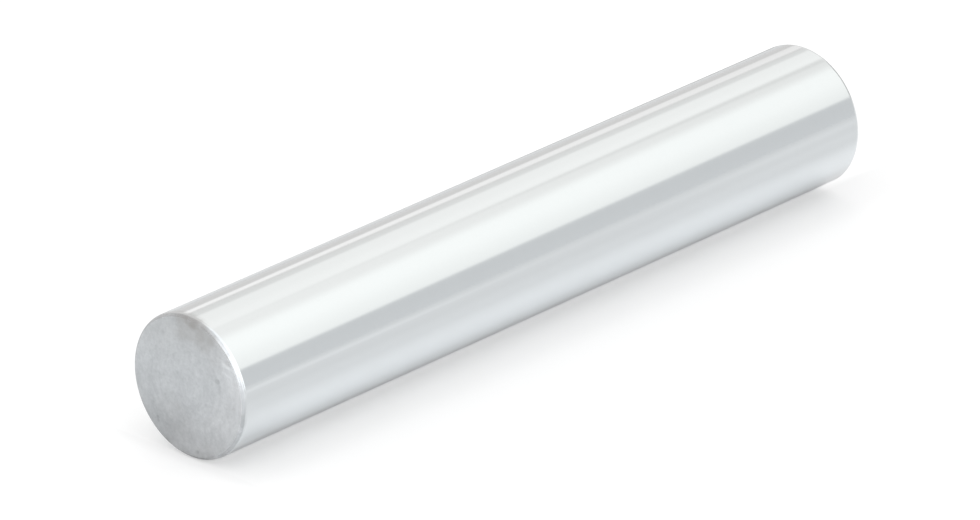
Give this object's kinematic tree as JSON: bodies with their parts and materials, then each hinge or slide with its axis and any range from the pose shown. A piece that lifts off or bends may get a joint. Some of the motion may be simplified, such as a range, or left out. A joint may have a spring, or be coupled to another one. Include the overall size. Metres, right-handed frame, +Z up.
{
  "type": "linear shaft",
  "caption": "Plain ground round bar with chamfered ends, used as the guide shaft that a linear bearing slides along or as a roller or pivot axle.",
  "frame": {"origin": "on the shaft's axis, halfway along its length", "axes": "+X along the axis, from end A (the end nearest the camera in the picture) to end B; +Z up, with the shaft lying level on its side"},
  "size_m": [0.12, 0.02, 0.02],
  "materials": {
    "ground_steel": "fine ground and polished hard chrome on steel, satin cut end faces"
  },
  "bodies": {
    "root": {"shaft": "ground_steel"}
  },
  "joints": []
}
